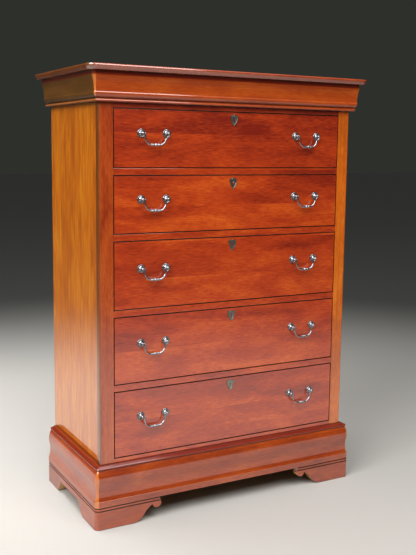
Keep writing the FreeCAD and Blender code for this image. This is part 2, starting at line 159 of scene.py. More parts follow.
class ChestWood(bpy.types.PropertyGroup):
    """Colours of the stained and the bare wood."""

    front_dark: hex_setting("Front, dark", "Darkest stain on the drawer fronts", "#741704")
    front_mid: hex_setting("Front, middle", "Main stain on the drawer fronts", "#AA360A")
    front_light: hex_setting("Front, light", "Lightest streaks on the drawer fronts", "#D05A16")
    # The case tones' brighter orange on the cornice front stands in partly as painted sheen
    case_dark: hex_setting("Case, dark", "Darkest stain on the cornice's front run", "#8A2E0A")
    case_mid: hex_setting("Case, middle", "Main stain on the left stile and cornice front", "#A2400E")
    case_light: hex_setting("Case, light", "Lightest streaks on the left stile and cornice front", "#BE5917")
    side_dark: hex_setting("Side, dark", "Darkest stain on the side panels", "#AA5406")
    side_mid: hex_setting("Side, middle", "Main stain on the side panels", "#C46808")
    side_light: hex_setting("Side, light", "Lightest streaks on the side panels", "#D48114")
    amber_dark: hex_setting("Amber, dark", "Darkest stain on the right stile, a paler board", "#A44C09")
    amber_mid: hex_setting("Amber, middle", "Main stain on the right stile", "#C25C0D")
    amber_light: hex_setting("Amber, light", "Lightest streaks on the right stile", "#D8751E")
    # Painted shade and dark reflection: the brown tones darken the cornice's side runs, and the middle one
    # is also laid on the stile's outer side and the top's ends
    brown_dark: hex_setting("Brown, dark", "Darkest stain on the side runs of the cornice", "#46290B")
    brown_mid: hex_setting("Brown, middle", "Main stain on the side runs, and on end grain", "#5E3A10")
    brown_light: hex_setting("Brown, light", "Lightest streaks on the side runs", "#744A16")
    base_dark: hex_setting("Base, dark", "Darkest stain on the top, base and feet", "#702007")
    base_mid: hex_setting("Base, middle", "Main stain on the top, base and feet", "#98390A")
    base_light: hex_setting("Base, light", "Lightest streaks on the top, base and feet", "#B25212")
    # Painted shade: a deep red on the ledge at the top of each moulding, under the top's overhang on the
    # cornice
    ledge_shade: hex_setting("Pooled", "Deep red where stain has pooled on ledges", "#6A1204")
    sawn: hex_setting("Sawn", "Bare sawn edges of the brackets", "#D8A55C")
    # The edge colour is rubbed wear on plain arrises, and a painted highlight on the mouldings' round
    # corners and the cornice sides' lowest lip
    edge: hex_setting("Rubbed edge", "Stain that has rubbed thin on the arrises", "#C06A2C")
    # Painted shade: this dark colour is laid by occlusion in grooves, gaps and corners, and over the arrises
    # along the drawer gaps
    crevice_shade: hex_setting("Glaze", "Dark glaze that stays in grooves and gaps", "#1C0904")
    bare_dark: hex_setting("Bare, dark", "Late wood of the unfinished boards", "#A9835A")
    bare_light: hex_setting("Bare, light", "Early wood of the unfinished boards", "#D3B388")
    arris: length_setting("Arris", "Width of the softened edges", 0.8)


class ChestPulls(bpy.types.PropertyGroup):
    """Sizes and colours of the bail pulls and escutcheons."""

    metal: hex_setting("Pewter", "Rubbed pewter of the pulls", "#B0B0B4")
    tarnish: hex_setting("Tarnish", "Dark patina in the pulls' hollows", "#1C1C1D")
    shield: hex_setting("Shield", "Dark face of the escutcheons", "#4A4C46")
    shield_rim: hex_setting("Shield rim", "Rubbed rim of the escutcheons", "#B4B6AA")
    spacing: length_setting("Spacing", "Between the two posts of a pull", 76)
    standoff: length_setting("Stand-off", "From the drawer front to the bail's pivot", 12.5)
    ball: length_setting("Ball", "Radius of a post's ball", 3.9)
    knuckle: length_setting("Knuckle", "Radius of a bail's knuckle", 2.3)
    knuckle_gap: length_setting("Knuckle gap", "Between a knuckle and its ball", 0.35)
    pin: length_setting("Pin", "Radius of a bail's pin", 1.3)
    drop: length_setting("Drop", "From a bail's pivot to its bead", 31)
    bend: length_setting("Bend", "Radius of a bail's bends", 21)
    wire: length_setting("Wire", "Radius of a bail at its thickest", 3.1)


class ChestStage(bpy.types.PropertyGroup):
    """Camera and studio."""

    camera_place: bpy.props.FloatVectorProperty(
        name="Camera", description="Where the camera stands", default=(-1.2216, -2.2569, 1.0439),
        subtype="TRANSLATION", unit="LENGTH")
    yaw: bpy.props.FloatProperty(
        name="Yaw", description="How far the camera is turned to the right", default=math.radians(28.914),
        subtype="ANGLE")
    pitch: bpy.props.FloatProperty(
        name="Pitch", description="How far the camera looks down", default=math.radians(7.493),
        subtype="ANGLE")
    roll: bpy.props.FloatProperty(
        name="Roll", description="How far the camera leans", default=math.radians(0.684), subtype="ANGLE")
    focal_px: bpy.props.FloatProperty(
        name="Focal length", description="In pixels of a picture 555 high", default=838.0)
    # The two floor colours paint a pool of light round the chest that falls off to dark far away
    floor: hex_setting("Floor", "Pale floor", "#ADAAA5")
    floor_far: hex_setting("Far floor", "Floor where the studio ends", "#444542")
    wall: hex_setting("Wall", "Light near the horizon", "#2E302C")
    sky: hex_setting("Ceiling", "Light from overhead", "#FFFFFF")


# Boards


def solids_of(node):
    """The separate solids of a CAD node, each as a merged bmesh."""
    whole = bmesh.new()
    whole.from_mesh(frame["nodes"][node].data)
    bmesh.ops.remove_doubles(whole, verts=whole.verts, dist=MERGE)
    # A dict keeps the faces in order, so that every run numbers the boards alike
    left = dict.fromkeys(whole.faces)
    solids = []
    while left:
        found = [next(iter(left))]
        del left[found[0]]
        for face in found:
            joined = [f for e in face.edges if len(e.link_faces) == 2 for f in e.link_faces if f in left]
            near = dict.fromkeys(joined)
            for neighbour in near:
                del left[neighbour]
            found.extend(near)
        solid = bmesh.new()
        made = {}
        for face in found:
            for vert in face.verts:
                if vert not in made:
                    made[vert] = solid.verts.new(vert.co)
            solid.faces.new([made[vert] for vert in face.verts])
        solids.append(solid)
    whole.free()
    return solids


def on_mitre(edge):
    """Whether an edge lies in the plane of a corner mitre, where two mouldings meet flush."""
    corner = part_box("stile_left")[0]
    return all(abs((abs(v.co.x) + corner.x) - (corner.y - v.co.y)) < MITRE_SLACK for v in edge.verts)


def soften(solid, width):
    """Joins flat triangles and rounds the sharp edges; gives back the faces of the rounded edges."""
    flat = math.radians(0.3)
    sharp = math.radians(32)
    solid.normal_update()
    bmesh.ops.dissolve_limit(solid, angle_limit=flat, verts=solid.verts, edges=solid.edges)
    edges = [e for e in solid.edges
             if len(e.link_faces) == 2 and e.calc_face_angle(0) > sharp and not on_mitre(e)]
    if not width or not edges:
        return []
    made = bmesh.ops.bevel(solid, geom=edges, offset=width, offset_type="OFFSET", segments=3, profile=0.5,
                           affect="EDGES", clamp_overlap=True)
    return made["faces"]


def add_grain(mesh, boards):
    """Stores each board's own grain direction and place in the log."""
    grain = mesh.attributes.new("grain", "FLOAT_VECTOR", "CORNER")
    for number, polygons in enumerate(boards):
        corners = [mesh.vertices[v].co for p in polygons for v in mesh.polygons[p].vertices]
        sizes = [max(c[i] for c in corners) - min(c[i] for c in corners) for i in range(3)]
        turn = GRAIN_TURNS[sizes.index(max(sizes))]
        step = LOG_STEP * number
        for p in polygons:
            for loop in mesh.polygons[p].loop_indices:
                place = mesh.vertices[mesh.loops[loop].vertex_index].co
                grain.data[loop].vector = Vector([place[i] for i in turn]) + step


def finish_piece(obj, body, node):
    """Sets a piece on its body, in place of a CAD node."""
    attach(obj, body)
    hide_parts(node)


def settle(obj):
    """Turns an object with modifiers into a plain mesh."""
    graph = bpy.context.evaluated_depsgraph_get()
    mesh = bpy.data.meshes.new_from_object(obj.evaluated_get(graph), preserve_all_data_layers=True,
                                           depsgraph=graph)
    obj.modifiers.clear()
    obj.data = mesh


def new_object(name, mesh):
    """A new object in the scene."""
    obj = bpy.data.objects.new(name, mesh)
    bpy.context.scene.collection.objects.link(obj)
    return obj


def moulded(face, low, high):
    """Marks of a moulding: a painted highlight on its round corner, and painted shade on its ledge at the
    top.
    """
    turned = min(abs(face.normal.x), abs(face.normal.y)) > CORNER_TURN
    ledge_shade = high.z - face.calc_center_median().z < LEDGE
    return {"edge": RUB_AND_HIGHLIGHT * turned, "ledge_shade": 1.0 * ledge_shade}


def lip_highlight(face, low, high):
    """Marks of a cornice's side run: a moulding whose lowest lip gets a painted highlight."""
    found = moulded(face, low, high)
    underside = face.normal.z <= -0.5
    if face.calc_center_median().z - low.z < LIP and not underside:
        found["edge"] = RUB_AND_HIGHLIGHT
    return found


def rounded(face, low, high):
    """Marks of a stile: its rounded outer arris and side are painted brown as a dark reflection, and its
    inner arris is rubbed.
    """
    outwards = math.copysign(1.0, low.x) * face.normal.x
    inner = ARRIS_LEAST < -outwards < SQUARE
    return {"rounded": 1.0 * (outwards > SIDEWAYS), "edge": RUB_AND_HIGHLIGHT * inner}


def shaded_gap_arrises(face, low, high):
    """Marks of a rail or drawer front: painted shade covers the front arrises along the gaps."""
    return {"gap": 1.0 * (ARRIS_LEAST < -face.normal.y < ARRIS_MOST)}


def ended(face, low, high):
    """Marks of the top panel: its moulded ends, of end grain, are made browner."""
    return {"rounded": 1.0 * (abs(face.normal.x) > SIDEWAYS)}


def sawn(face, low, high):
    """Marks of a bracket: its sawn cut-out goes through the whole thickness and was never stained."""
    size = high - low
    thin = 1 if size.x > size.y else 0
    centre = face.calc_center_median()
    through = abs(centre[thin] - (low[thin] + high[thin]) / 2) < size[thin] / 5
    between = low.z + MM < centre.z < high.z - MM
    edge_on = abs(face.normal[thin]) < 0.2
    return {"sawn": 1.0 * (through and between and edge_on)}


def board_piece(node, body, material, width, marks=None):
    """A finished copy of a CAD node made of boards, with soft arrises and smooth mouldings."""
    joined = bmesh.new()
    layers = {name: joined.faces.layers.float.new(name) for name in MARKS}
    low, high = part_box(node)
    boards = []
    for solid in solids_of(node):
        edge_faces = set(soften(solid, width))
        solid.normal_update()
        made = {vert: joined.verts.new(vert.co) for vert in solid.verts}
        start = len(joined.faces)
        for face in solid.faces:
            copy = joined.faces.new([made[vert] for vert in face.verts])
            found = marks(face, low, high) if marks else {}
            if face in edge_faces:
                found = {"edge": max(1.0, found.get("edge", 0.0)), "gap": found.get("gap", 0.0)}
            for name, share in found.items():
                copy[layers[name]] = share
        boards.append(range(start, len(joined.faces)))
        solid.free()
    mesh = bpy.data.meshes.new(node + "_finished")
    joined.to_mesh(mesh)
    joined.free()
    mesh.shade_smooth()
    mesh.set_sharp_from_angle(angle=BOARD_SHARP)
    obj = new_object(node + "_finished", mesh)
    weighted = obj.modifiers.new("Weighted normals", "WEIGHTED_NORMAL")
    weighted.keep_sharp = True
    settle(obj)
    add_grain(obj.data, boards)
    obj.data.materials.append(material)
    finish_piece(obj, body, node)


# Finishes


def planks(tree, grain, width, start, depth):
    """Splits wide boards into glued-up planks, each with its own figure, by turns darker and lighter."""
    parts = add_node(tree, "ShaderNodeSeparateXYZ", {0: grain})
    across = add_node(tree, "ShaderNodeMath", {0: parts.outputs["Z"], 1: start}, operation="SUBTRACT")
    number = add_node(tree, "ShaderNodeMath", {0: across.outputs[0], 1: width}, operation="DIVIDE")
    whole = add_node(tree, "ShaderNodeMath", {0: number.outputs[0]}, operation="FLOOR")
    slid = add_node(tree, "ShaderNodeMath", {0: whole.outputs[0], 1: PLANK_SLIDE, 2: parts.outputs["X"]},
                    operation="MULTIPLY_ADD")
    moved = add_node(tree, "ShaderNodeCombineXYZ", {
        "X": slid.outputs[0], "Y": parts.outputs["Y"], "Z": parts.outputs["Z"]})
    odd = add_node(tree, "ShaderNodeMath", {0: whole.outputs[0], 1: 2.0}, operation="FLOORED_MODULO")
    shade = add_node(tree, "ShaderNodeMapRange", {
        "Value": odd.outputs[0], "To Min": -depth, "To Max": depth})
    return moved.outputs[0], shade.outputs[0]


def blank(name):
    """A new material and its empty node tree."""
    material = bpy.data.materials.new(name)
    material.use_nodes = True
    material.node_tree.nodes.clear()
    return material, material.node_tree


def board_finish(name, tones, crevice_shade, rough, coat, pores, shares=(0.46, 0.18), plank=None, wear=(),
                 shaded=None, range_each_way=0.19, coarse=1.0, gap=0.0):
    """Straight-grained wood: clouds of stain, growth streaks, fine fibres and short dark pores.

    Shares are those of the clouds and the streaks in the tone, and the fibres have the rest. A plank has its
    width, its start and its depth of shade. The marks list gives each mark with its share and colour. Shaded
    gives the heights between which the tone gets darker as painted shade, and by how much.
    """
    material, tree = blank(name)
    grain = add_node(tree, "ShaderNodeAttribute", attribute_name="grain").outputs["Vector"]
    if plank:
        grain, shade = planks(tree, grain, *plank)
    # Length and width in metres, detail and bend of the clouds, streaks, fibres and pores; the last two are
    # drawn coarse enough to show
    figures = (
        (0.22, 0.070, 2.0, 0.8),
        (0.36, 0.008, 3.0, 0.3),
        (0.022 * coarse, 0.0022 * coarse, 3.0, 0.2),
        (0.014, 0.0015, 1.0, 0.0),
    )
    noises = []
    for length, width, detail, bend in figures:
        scale = (1 / length, 1 / width, 1 / width)
        place = add_node(tree, "ShaderNodeMapping", {"Vector": grain, "Scale": scale})
        noises.append(add_node(tree, "ShaderNodeTexNoise", {
            "Vector": place.outputs[0], "Scale": 1.0, "Detail": detail, "Distortion": bend}).outputs["Fac"])
    clouds, streaks, fibres, dashes = noises
    cloudy = add_node(tree, "ShaderNodeMath", {0: clouds, 1: shares[0]}, operation="MULTIPLY")
    streaky = add_node(tree, "ShaderNodeMath", {0: streaks, 1: shares[1], 2: cloudy.outputs[0]},
                       operation="MULTIPLY_ADD")
    tone = add_node(tree, "ShaderNodeMath", {0: fibres, 1: 1 - sum(shares), 2: streaky.outputs[0]},
                    operation="MULTIPLY_ADD")
    level = tone.outputs[0]
    if plank:
        level = add_node(tree, "ShaderNodeMath", {0: shade, 1: level}, operation="ADD").outputs[0]
    if shaded:
        # Painted shade: the tone darkens towards the top, where the cornice's shadow falls
        place = add_node(tree, "ShaderNodeTexCoord").outputs["Object"]
        up = add_node(tree, "ShaderNodeSeparateXYZ", {0: place}).outputs["Z"]
        cornice_shadow = add_node(tree, "ShaderNodeMapRange", {
            "Value": up, "From Min": shaded[0], "From Max": shaded[1], "To Min": 0.0, "To Max": -shaded[2]},
            interpolation_type="SMOOTHSTEP")
        level = add_node(tree, "ShaderNodeMath", {0: cornice_shadow.outputs[0], 1: level}, operation="ADD").outputs[0]
    spread = add_node(tree, "ShaderNodeMapRange", {
        "Value": level, "From Min": 0.5 - range_each_way, "From Max": 0.5 + range_each_way})
    stain = add_node(tree, "ShaderNodeValToRGB", {"Fac": spread.outputs[0]},
                     [(i / (len(tones) - 1), linear(t)) for i, t in enumerate(tones)])
    pore = add_node(tree, "ShaderNodeMapRange", {
        "Value": dashes, "From Min": 0.60, "From Max": 0.72, "To Max": pores})
    stained = add_node(tree, "ShaderNodeMix", {
        0: pore.outputs[0], 6: stain.outputs[0], 7: linear(tones[0])}, data_type="RGBA")
    for mark, share, shade_there in wear:
        marked = add_node(tree, "ShaderNodeAttribute", attribute_name=mark).outputs["Fac"]
        mark_share = add_node(tree, "ShaderNodeMath", {0: marked, 1: share}, operation="MULTIPLY")
        stained = add_node(tree, "ShaderNodeMix", {
            0: mark_share.outputs[0], 6: stained.outputs[2], 7: linear(shade_there)}, data_type="RGBA")
    gloss = coat
    if gap:
        # Painted shade: the arrises along the gaps take the dark crevice colour and less coat, so the gaps'
        # shadow lines look wider and show no highlight
        gap_shade = add_node(tree, "ShaderNodeAttribute", attribute_name="gap").outputs["Fac"]
        gap_shade_share = add_node(tree, "ShaderNodeMath", {0: gap_shade, 1: gap}, operation="MULTIPLY")
        stained = add_node(tree, "ShaderNodeMix", {
            0: gap_shade_share.outputs[0], 6: stained.outputs[2], 7: linear(crevice_shade)}, data_type="RGBA")
        gloss = add_node(tree, "ShaderNodeMath", {0: gap_shade, 1: -coat, 2: coat},
                         operation="MULTIPLY_ADD").outputs[0]
    # Painted shade: the dark crevice colour is laid by occlusion in grooves, gaps and corners of a few
    # millimetres
    open_air = add_node(tree, "ShaderNodeAmbientOcclusion", {"Distance": 5 * MM}, samples=8)
    painted_crevice_shade = add_node(tree, "ShaderNodeMapRange", {
        "Value": open_air.outputs["AO"], "From Min": 0.40, "From Max": 0.85, "To Min": 0.95, "To Max": 0.0})
    colour = add_node(tree, "ShaderNodeMix", {
        0: painted_crevice_shade.outputs[0], 6: stained.outputs[2], 7: linear(crevice_shade)}, data_type="RGBA")
    roughness = add_node(tree, "ShaderNodeMapRange", {
        "Value": fibres, "From Min": 0.3, "From Max": 0.7, "To Min": rough - 0.05, "To Max": rough + 0.07})
    height = add_node(tree, "ShaderNodeMath", {0: pore.outputs[0], 1: -1.2, 2: fibres},
                      operation="MULTIPLY_ADD")
    bump = add_node(tree, "ShaderNodeBump", {
        "Strength": 0.10, "Distance": 0.3 * MM, "Height": height.outputs[0]})
    shader = add_node(tree, "ShaderNodeBsdfPrincipled", {
        "Base Color": colour.outputs[2], "Roughness": roughness.outputs[0], "Normal": bump.outputs[0],
        "Specular IOR Level": 0.2, "Coat Weight": gloss, "Coat Roughness": 0.08, "Coat IOR": 2.1})
    add_node(tree, "ShaderNodeOutputMaterial", {"Surface": shader.outputs[0]})
    return material


def pewter_finish(name, bright, dark, rough, hollow):
    """Cast and plated pewter, rubbed bright on its highs, with dark patina in hollows of this width."""
    material, tree = blank(name)
    place = add_node(tree, "ShaderNodeTexCoord").outputs["Object"]
    # Patina gathers in patches of about 4 mm and cast pits are about 0.6 mm across
    patches = add_node(tree, "ShaderNodeTexNoise", {"Vector": place, "Scale": 1 / (4 * MM), "Detail": 3.0})
    pits = add_node(tree, "ShaderNodeTexNoise", {"Vector": place, "Scale": 1 / (0.6 * MM), "Detail": 2.0})
    open_air = add_node(tree, "ShaderNodeAmbientOcclusion", {"Distance": hollow}, samples=8)
    clean = add_node(tree, "ShaderNodeMapRange", {
        "Value": open_air.outputs["AO"], "From Min": 0.40, "From Max": 0.88})
    patchy = add_node(tree, "ShaderNodeMapRange", {
        "Value": patches.outputs["Fac"], "From Min": 0.35, "From Max": 0.60, "To Min": 0.55})
    shine = add_node(tree, "ShaderNodeMath", {0: clean.outputs[0], 1: patchy.outputs[0]},
                     operation="MULTIPLY")
    colour = add_node(tree, "ShaderNodeMix", {0: shine.outputs[0], 6: linear(dark), 7: linear(bright)},
                      data_type="RGBA")
    roughness = add_node(tree, "ShaderNodeMapRange", {
        "Value": shine.outputs[0], "To Min": rough + 0.25, "To Max": rough})
    bump = add_node(tree, "ShaderNodeBump", {
        "Strength": 0.04, "Distance": 0.1 * MM, "Height": pits.outputs["Fac"]})
    shader = add_node(tree, "ShaderNodeBsdfPrincipled", {
        "Base Color": colour.outputs[2], "Roughness": roughness.outputs[0], "Metallic": 1.0,
        "Normal": bump.outputs[0]})
    add_node(tree, "ShaderNodeOutputMaterial", {"Surface": shader.outputs[0]})
    return material


def made_once(name, maker, *details, **more):
    """A material by name, made the first time it is asked for."""
    return bpy.data.materials.get(name) or maker(name, *details, **more)


def cherry_wear(wood):
    """What the marks on the stained boards look like: mark, share and colour."""
    # Marks: rubbed wear and painted highlights on edges, painted shade on ledges, painted dark reflection on
    # the stile's side with browner top ends, and bare sawn wood
    return (("edge", 0.35, wood.edge), ("ledge_shade", 0.85, wood.ledge_shade), ("rounded", 0.7, wood.brown_mid),
            ("sawn", 0.9, wood.sawn))


def stained_cherry(part, wood, tones, **details):
    """Stained and lacquered cherry for one part of the chest."""
    return made_once("stained_cherry_" + part, board_finish, tones, wood.crevice_shade,
                     wear=cherry_wear(wood), **details)


def cherry_front(wood):
    # Cherry stained red and lacquered: dark red, with orange flecks under a deep gloss
    tones = (wood.front_dark, wood.front_mid, wood.front_light)
    # Shaded darkens the upper drawers and the top rail as painted shade from the cornice
    return stained_cherry("front", wood, tones, rough=0.38, coat=1.0, pores=0.6, shares=(0.46, 0.12),
                          plank=(99.5 * MM, 290 * MM, 0.022), shaded=(880 * MM, 1100 * MM, 0.105), gap=0.95)


def cherry_top(wood):
    # Top panel, in the base's darker tones, partly as painted shade against the strong light on its top: an
    # even red brown under a full gloss
    tones = (wood.base_dark, wood.base_mid, wood.base_light)
    return stained_cherry("top", wood, tones, rough=0.36, coat=1.0, pores=0.4)


def cherry_crown(wood):
    # The cornice's front run, a little dulled by dusting, in brighter orange tones that stand in as painted
    # sheen for its lit band
    tones = (wood.case_dark, wood.case_mid, wood.case_light)
    return stained_cherry("crown", wood, tones, rough=0.36, coat=0.6, pores=0.4)


def cherry_stile(wood):
    # The left stile, glossy, darker and redder towards its top as painted shade from the cornice
    tones = (wood.front_dark, wood.case_mid, wood.case_light)
    return stained_cherry("stile", wood, tones, rough=0.36, coat=1.0, pores=0.4,
                          shaded=(700 * MM, 1150 * MM, 0.10))


def cherry_painted_shade(wood):
    # Side runs of the cornice, painted a dull brown as their shade and the dark reflection under the
    # overhang
    tones = (wood.brown_dark, wood.brown_mid, wood.brown_light)
    return stained_cherry("brown", wood, tones, rough=0.36, coat=1.0, pores=0.4)


def cherry_base(wood):
    # Base moulding and feet, in darker tones, and less glossy from wear near the floor
    tones = (wood.base_dark, wood.base_mid, wood.base_light)
    return stained_cherry("base", wood, tones, rough=0.40, coat=0.8, pores=0.4)


def cherry_amber(wood):
    # The right stile, in amber tones under the same finish, with its streaks showing
    tones = (wood.amber_dark, wood.amber_mid, wood.amber_light)
    return stained_cherry("amber", wood, tones, rough=0.36, coat=1.0, pores=0.3, range_each_way=0.11)


def cherry_side(wood):
    # Side panels took the stain least: amber, with upright streaks
    tones = (wood.side_dark, wood.side_mid, wood.side_light)
    return stained_cherry("side", wood, tones, rough=0.38, coat=1.0, pores=0.3, shares=(0.30, 0.18),
                          plank=(120 * MM, 20 * MM, 0.012), range_each_way=0.13, coarse=3.5)


def bare_poplar(wood):
    # Planed and left bare, so it is pale and dull
    tones = (wood.bare_dark, wood.bare_light)
    return made_once("bare_poplar", board_finish, tones, wood.bare_dark, rough=0.62, coat=0.0, pores=0.25)


def bare_plywood(wood):
    # Rotary-cut sheet, bare, with broad soft figure
    tones = (wood.bare_dark, wood.bare_light)
    return made_once("bare_plywood", board_finish, tones, wood.bare_dark, rough=0.66, coat=0.0, pores=0.15,
                     shares=(0.60, 0.20))


def pull_metal(pulls):
    # Cast pewter that hands have rubbed bright, and that is black where they don't reach
    return made_once("rubbed_pewter", pewter_finish, pulls.metal, pulls.tarnish, rough=0.20, hollow=4 * MM)


def shield_metal(pulls):
    # The same metal, seldom touched, so all but its rim has turned dark and dull
    return made_once("tarnished_pewter", pewter_finish, pulls.shield_rim, pulls.shield,
                     rough=0.26, hollow=2 * MM)


# Pulls


def lathe(outline, steps, turn):
    """A closed turned mesh from (radius, height) points in millimetres, turned to lie along an axis."""
    made = bmesh.new()
    verts = [made.verts.new((r * MM, 0, h * MM)) for r, h in outline]
    edges = [made.edges.new(pair) for pair in zip(verts, verts[1:])]
    bmesh.ops.spin(made, geom=verts + edges, cent=(0, 0, 0), axis=(0, 0, 1), steps=steps,
                   angle=2 * math.pi, use_merge=True)
    bmesh.ops.remove_doubles(made, verts=made.verts, dist=MERGE)
    bmesh.ops.recalc_face_normals(made, faces=made.faces)
    made.transform(turn)
    return made


def arc(centre, radius, start, end, count):
    """Points of an arc between two angles in degrees."""
    angles = [math.radians(start + (end - start) * i / count) for i in range(count + 1)]
    return [(max(0.0, centre[0] + radius * math.cos(a)), centre[1] + radius * math.sin(a)) for a in angles]


def hidden_pattern(name, made):
    """An object that is only a pattern for copies."""
    mesh = bpy.data.meshes.new(name)
    made.to_mesh(mesh)
    made.free()
    mesh.shade_smooth()
    mesh.set_sharp_from_angle(angle=METAL_SHARP)
    return new_object(name, mesh)


def group_inputs(tree, *inputs):
    """Adds a tree's named inputs and its geometry output; gives back the sockets and identifiers."""
    names = {}
    for name, kind in inputs:
        socket = tree.interface.new_socket(name, in_out="INPUT", socket_type="NodeSocket" + kind)
        names[name] = socket.identifier
    tree.interface.new_socket("Geometry", in_out="OUTPUT", socket_type="NodeSocketGeometry")
    return add_node(tree, "NodeGroupInput").outputs, names


def grown(name, tree, names, values):
    """A plain mesh object grown by a node tree with these input values."""
    obj = new_object(name, bpy.data.meshes.new(name))
    modifier = obj.modifiers.new(tree.name, "NODES")
    modifier.node_group = tree
    for key, value in values.items():
        modifier[names[key]] = value
    settle(obj)
    # The pattern's empty slot goes, so the set material is the only one
    obj.data.materials.pop(index=0)
    return obj


def cut_away(obj, cutter):
    """Cuts one pattern out of another, and removes the cutter."""
    cut = obj.modifiers.new("Cut", "BOOLEAN")
    cut.operation = "DIFFERENCE"
    cut.solver = "EXACT"
    cut.object = cutter
    settle(obj)
    bpy.data.objects.remove(cutter)


def post_pattern(pulls):
    """Rosette with a rolled rim, a waisted post and a ball bored for the bail's pin."""
    stand = pulls.standoff / MM
    ball = pulls.ball / MM
    outline = [(0, 8.4), (2.05, 8.4), (2.05, 0), (11.2, 0), (11.5, 0.4), (11.5, 0.9)]
    outline += arc((10.4, 1.35), 1.1, 0, 180, 10)
    outline += [(9.0, 1.15), (8.3, 1.05), (7.5, 1.1), (6.6, 1.45), (5.6, 2.2), (4.7, 3.3), (4.0, 4.6)]
    outline += [(3.5, 5.8), (3.2, 6.8)]
    outline += arc((3.1, 7.7), 0.7, -75, 75, 6)
    outline += arc((0, stand), ball, -42, 90, 16)
    made = lathe(outline, 40, Matrix.Rotation(math.radians(90), 4, "X"))
    post = hidden_pattern("post_pattern", made)
    bore_radius = pulls.pin * BORE_PLAY
    bore = bmesh.new()
    bmesh.ops.create_cone(bore, cap_ends=True, segments=24, radius1=bore_radius, radius2=bore_radius,
                          depth=2 * (pulls.ball + pulls.pin))
    side = Matrix.Translation((pulls.ball, -pulls.standoff, 0))
    bore.transform(side @ Matrix.Rotation(math.radians(90), 4, "Y"))
    cut_away(post, hidden_pattern("bore_pattern", bore))
    post.data.set_sharp_from_angle(angle=METAL_SHARP)
    return post


def screw_pattern(front_thickness):
    """Slotted screw that holds a post, seen inside the drawer."""
    reach = -front_thickness / MM
    head = 2.4
    outline = [(0, head), (2.4, 2.3), (3.4, 1.9), (4.0, 1.0), (4.0, 0), (2.0, 0), (2.0, reach - 7.5)]
    outline += [(0, reach - 8)]
    made = lathe(outline, 24, Matrix.Rotation(math.radians(-90), 4, "X"))
    made.transform(Matrix.Translation((0, front_thickness, 0)))
    screw = hidden_pattern("screw_pattern", made)
    slot_size = Matrix.Diagonal((9 * MM, 2 * MM, 1 * MM, 1))
    slot = bmesh.new()
    bmesh.ops.create_cube(slot, size=1.0)
    slot.transform(Matrix.Translation((0, front_thickness + head * MM, 0)) @ slot_size)
    cut_away(screw, hidden_pattern("slot_pattern", slot))
    return screw


def post_tree():
    """Sets a post and its screw at both ends of both pulls of a drawer."""
    tree = bpy.data.node_groups.new("Pull posts", "GeometryNodeTree")
    given, names = group_inputs(tree, ("Post", "Object"), ("Screw", "Object"), ("Spacing", "Float"),
                                ("Centre", "Vector"), ("Between", "Float"), ("Metal", "Material"))
    post = add_node(tree, "GeometryNodeObjectInfo", {"Object": given["Post"]})
    screw = add_node(tree, "GeometryNodeObjectInfo", {"Object": given["Screw"]})
    pair = add_node(tree, "GeometryNodeJoinGeometry")
    for item in (post, screw):
        tree.links.new(item.outputs["Geometry"], pair.inputs[0])
    half = add_node(tree, "ShaderNodeMath", {0: given["Spacing"], 1: 0.5}, operation="MULTIPLY")
    start = add_node(tree, "ShaderNodeMath", {0: half.outputs[0], 1: -1.0}, operation="MULTIPLY")
    first = add_node(tree, "ShaderNodeCombineXYZ", {"X": start.outputs[0]})
    gap = add_node(tree, "ShaderNodeCombineXYZ", {"X": given["Spacing"]})
    ends = add_node(tree, "GeometryNodeMeshLine", {
        "Count": 2, "Start Location": first.outputs[0], "Offset": gap.outputs[0]})
    index = add_node(tree, "GeometryNodeInputIndex")
    turn = add_node(tree, "ShaderNodeMath", {0: index.outputs[0], 1: math.pi}, operation="MULTIPLY")
    facing = add_node(tree, "ShaderNodeCombineXYZ", {"Y": turn.outputs[0]})
    pull = add_node(tree, "GeometryNodeInstanceOnPoints", {
        "Points": ends.outputs[0], "Instance": pair.outputs[0], "Rotation": facing.outputs[0]})
    reach = add_node(tree, "ShaderNodeMath", {0: given["Between"], 1: -0.5}, operation="MULTIPLY")
    side = add_node(tree, "ShaderNodeCombineXYZ", {"X": reach.outputs[0]})
    left = add_node(tree, "ShaderNodeVectorMath", {0: given["Centre"], 1: side.outputs[0]}, operation="ADD")
    across = add_node(tree, "ShaderNodeCombineXYZ", {"X": given["Between"]})
    pulls = add_node(tree, "GeometryNodeMeshLine", {
        "Count": 2, "Start Location": left.outputs[0], "Offset": across.outputs[0]})
    both = add_node(tree, "GeometryNodeInstanceOnPoints", {
        "Points": pulls.outputs[0], "Instance": pull.outputs[0]})
    real = add_node(tree, "GeometryNodeRealizeInstances", {"Geometry": both.outputs[0]})
    metal = add_node(tree, "GeometryNodeSetMaterial", {
        "Geometry": real.outputs[0], "Material": given["Metal"]})
    add_node(tree, "NodeGroupOutput", {"Geometry": metal.outputs[0]})
    return tree, names


def bead_pattern():
    """Turned bead with a collar on each side, for the middle of a bail."""
    outline = [(0.0, -7.6), (2.9, -7.4)]
    outline += arc((2.9, -6.5), 0.9, -80, 80, 6)
    outline += [(2.5, -5.2)]
    outline += arc((0, 0), 4.6, -62, 62, 18)
    outline += [(2.5, 5.2)]
    outline += arc((2.9, 6.5), 0.9, -80, 80, 6)
    outline += [(2.9, 7.4), (0.0, 7.6)]
    return hidden_pattern("bead_pattern", lathe(outline, 28, Matrix.Rotation(math.radians(90), 4, "Y")))


def knuckle_pattern(pulls, reach):
    """Round knuckle with a pin that goes into a post's ball."""
    knuckle = pulls.knuckle / MM
    pin = pulls.pin / MM
    outline = arc((0, 0), knuckle, -90, 58, 14) + [(pin, knuckle * 0.9), (pin, reach / MM), (0, reach / MM)]
    return hidden_pattern("knuckle_pattern", lathe(outline, 24, Matrix.Rotation(math.radians(90), 4, "Y")))


